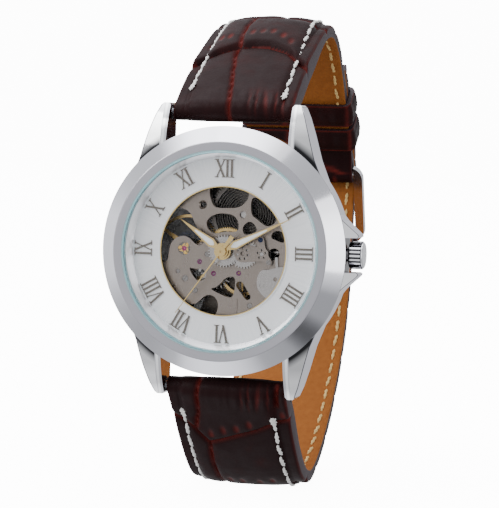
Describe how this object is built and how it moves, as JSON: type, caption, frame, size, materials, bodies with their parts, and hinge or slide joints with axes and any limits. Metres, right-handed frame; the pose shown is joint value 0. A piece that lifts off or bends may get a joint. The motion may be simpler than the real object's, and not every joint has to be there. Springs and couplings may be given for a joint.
{
  "type": "skeleton wristwatch",
  "caption": "Round steel wristwatch with a see-through mechanical movement, Roman numerals, three hands and a buckled padded leather strap.",
  "frame": {"origin": "centre of the case back glass's outer face, on the axis of the hands", "axes": "+Z towards 12 o'clock, +X towards 3 o'clock and the crown, +Y out of the case back, so the dial faces -Y"},
  "size_m": [0.0423, 0.0649, 0.0775],
  "materials": {
    "polished_steel": "polished",
    "satin_steel": "satin",
    "crystal": "clear mineral glass",
    "gasket": "satin",
    "dial_silver": "silvered sunray",
    "numeral_metal": "polished",
    "gold": "polished gold plate",
    "lume": "matt white",
    "nickel": "grained nickel plate",
    "movement_steel": "polished",
    "brass": "satin",
    "ruby": "polished",
    "blued_spring": "blued",
    "spring_steel": "satin",
    "croc_leather": "glossy padded crocodile-grain",
    "tan_lining": "smooth matt"
  },
  "bodies": {
    "case": {"case_middle": "polished_steel", "bezel": "polished_steel", "crystal": "crystal", "crystal_gasket": "gasket", "rehaut_ring": "polished_steel", "case_back": "polished_steel", "case_back_glass": "crystal", "movement_ring": "satin_steel", "crown_tube": "satin_steel", "lug_spring_bars": "satin_steel", "dial": "dial_silver", "aperture_ring": "gold", "hour_markers": "numeral_metal", "main_plate": "nickel", "barrel_bridge": "nickel", "train_bridge": "nickel", "balance_cock": "nickel", "pallet_bridge": "nickel", "train_jewels": "ruby", "shock_settings": "brass", "motion_work_cover": "nickel", "movement_screws": "movement_steel", "flat_springs": "movement_steel", "strap_bottom_outer": "croc_leather", "strap_bottom_lining": "tan_lining"},
    "minute_train": {"centre_wheel": "brass", "cannon_pinion": "movement_steel", "minute_hand": "gold", "minute_hand_lume": "lume"},
    "third": {"third_wheel": "brass"},
    "seconds_train": {"fourth_wheel": "brass", "second_hand": "gold"},
    "escape": {"escape_wheel": "movement_steel"},
    "pallets": {"pallet_fork": "movement_steel"},
    "balance": {"balance_wheel": "brass", "balance_staff": "movement_steel", "hairspring": "blued_spring"},
    "barrel": {"barrel_drum": "nickel", "mainspring": "spring_steel"},
    "minute_wheel": {"minute_wheel": "movement_steel"},
    "hour": {"hour_wheel": "movement_steel", "hour_hand": "gold", "hour_hand_lume": "lume"},
    "setting_wheel": {"setting_wheel": "movement_steel"},
    "winding_pinion": {"winding_pinion": "movement_steel"},
    "crown": {"crown": "polished_steel", "winding_stem": "movement_steel"},
    "clutch": {"clutch": "movement_steel"},
    "crown_wheel": {"crown_wheel": "movement_steel"},
    "winding_arbor": {"ratchet_wheel": "movement_steel", "barrel_arbor": "movement_steel"},
    "click": {"click": "movement_steel"},
    "setting_lever": {"setting_lever": "movement_steel"},
    "yoke": {"yoke": "movement_steel"},
    "strap_top": {"strap_top_outer": "croc_leather", "strap_top_lining": "tan_lining", "keeper_fixed": "croc_leather"},
    "keeper_free": {"keeper_free": "croc_leather"},
    "buckle_frame": {"buckle_frame": "polished_steel"},
    "buckle_tongue": {"buckle_tongue": "polished_steel"}
  },
  "joints": [
    {"name": "minute_hand_turn", "type": "hinge", "parent": "case", "child": "minute_train", "pos_m": [0, -0.00435, 0], "axis": [0, 1, 0], "continuous": true},
    {"name": "third_wheel_turn", "type": "hinge", "parent": "case", "child": "third", "pos_m": [0.00235, -0.00365, -0.00348], "axis": [0, 1, 0], "continuous": true},
    {"name": "second_hand_turn", "type": "hinge", "parent": "case", "child": "seconds_train", "pos_m": [0, -0.00305, 0], "axis": [0, 1, 0], "continuous": true},
    {"name": "escape_wheel_turn", "type": "hinge", "parent": "case", "child": "escape", "pos_m": [-0.0018, -0.0045, -0.00369], "axis": [0, 1, 0], "continuous": true},
    {"name": "barrel_turn", "type": "hinge", "parent": "case", "child": "barrel", "pos_m": [0.0028, -0.0043, 0.0059], "axis": [0, 1, 0], "continuous": true},
    {"name": "minute_wheel_turn", "type": "hinge", "parent": "case", "child": "minute_wheel", "pos_m": [0.00311, -0.0066, -0.00027], "axis": [0, 1, 0], "continuous": true},
    {"name": "hour_hand_turn", "type": "hinge", "parent": "case", "child": "hour", "pos_m": [0, -0.0069, 0], "axis": [0, 1, 0], "continuous": true},
    {"name": "setting_wheel_turn", "type": "hinge", "parent": "case", "child": "setting_wheel", "pos_m": [0.00623, -0.0065, -0.00027], "axis": [0, 1, 0], "continuous": true},
    {"name": "pallet_fork_rock", "type": "hinge", "parent": "case", "child": "pallets", "pos_m": [-0.00417, -0.0045, -0.00185], "axis": [0, 1, 0], "range_deg": [-5, 5]},
    {"name": "balance_swing", "type": "hinge", "parent": "case", "child": "balance", "pos_m": [-0.0068, -0.0035, 0.0002], "axis": [0, 1, 0], "range_deg": [-270, 270], "stiffness_Nm_per_rad": 0.0000005, "deforming": ["hairspring"]},
    {"name": "crown_turn", "type": "hinge", "parent": "case", "child": "winding_pinion", "pos_m": [0.00985, -0.0039, 0], "axis": [1, 0, 0], "continuous": true},
    {"name": "crown_pull", "type": "slide", "parent": "winding_pinion", "child": "crown", "axis": [1, 0, 0], "range_m": [0, 0.0008]},
    {"name": "clutch_slide", "type": "slide", "parent": "winding_pinion", "child": "clutch", "axis": [1, 0, 0], "range_m": [-0.00064, 0]},
    {"name": "crown_wheel_turn", "type": "hinge", "parent": "case", "child": "crown_wheel", "pos_m": [0.0069, -0.0019, 0], "axis": [0, 1, 0], "continuous": true},
    {"name": "ratchet_turn", "type": "hinge", "parent": "case", "child": "winding_arbor", "pos_m": [0.0028, -0.0019, 0.0059], "axis": [0, 1, 0], "continuous": true},
    {"name": "click_pivot", "type": "hinge", "parent": "case", "child": "click", "pos_m": [-0.0024, -0.0019, 0.0079], "axis": [0, 1, 0], "range_deg": [0, 12], "stiffness_Nm_per_rad": 0.00001, "springref_deg": -2.86},
    {"name": "setting_lever_pivot", "type": "hinge", "parent": "case", "child": "setting_lever", "pos_m": [0.0111, -0.0066, -0.0037], "axis": [0, 1, 0], "range_deg": [0, 14.4]},
    {"name": "yoke_pivot", "type": "hinge", "parent": "case", "child": "yoke", "pos_m": [0.00855, -0.0066, -0.0042], "axis": [0, 1, 0], "range_deg": [-11.2, 0]},
    {"name": "strap_12_pivot", "type": "hinge", "parent": "case", "child": "strap_top", "pos_m": [0, -0.0026, 0.0223], "axis": [1, 0, 0], "range_deg": [-3, 3], "stiffness_Nm_per_rad": 0.6, "deforming": ["strap_bottom_outer", "strap_bottom_lining"]},
    {"name": "keeper_slide", "type": "slide", "parent": "strap_top", "child": "keeper_free", "axis": [0, -0.5963, 0.8027], "range_m": [0, 0.0025]},
    {"name": "buckle_frame_pivot", "type": "hinge", "parent": "strap_top", "child": "buckle_frame", "pos_m": [0, 0.0487, 0.0122], "axis": [1, 0, 0], "range_deg": [-3, 0]},
    {"name": "buckle_tongue_pivot", "type": "hinge", "parent": "strap_top", "child": "buckle_tongue", "pos_m": [0, 0.0487, 0.0122], "axis": [1, 0, 0], "range_deg": [0, 8]}
  ],
  "couplings": [
    {"joint": "third_wheel_turn", "follows": "minute_hand_turn", "ratio": -7.5},
    {"joint": "second_hand_turn", "follows": "minute_hand_turn", "ratio": 60},
    {"joint": "escape_wheel_turn", "follows": "minute_hand_turn", "ratio": -540},
    {"joint": "barrel_turn", "follows": "minute_hand_turn", "ratio": -0.13514},
    {"joint": "minute_wheel_turn", "follows": "minute_hand_turn", "ratio": -0.33333},
    {"joint": "hour_hand_turn", "follows": "minute_hand_turn", "ratio": 0.083333},
    {"joint": "setting_wheel_turn", "follows": "minute_hand_turn", "ratio": 1},
    {"joint": "crown_wheel_turn", "follows": "crown_turn", "ratio": -0.56667},
    {"joint": "ratchet_turn", "follows": "crown_turn", "ratio": 0.40476},
    {"joint": "clutch_slide", "follows": "crown_pull", "ratio": -0.8},
    {"joint": "setting_lever_pivot", "follows": "crown_pull", "rad_per_m": 312.5},
    {"joint": "yoke_pivot", "follows": "crown_pull", "rad_per_m": -242.42}
  ]
}
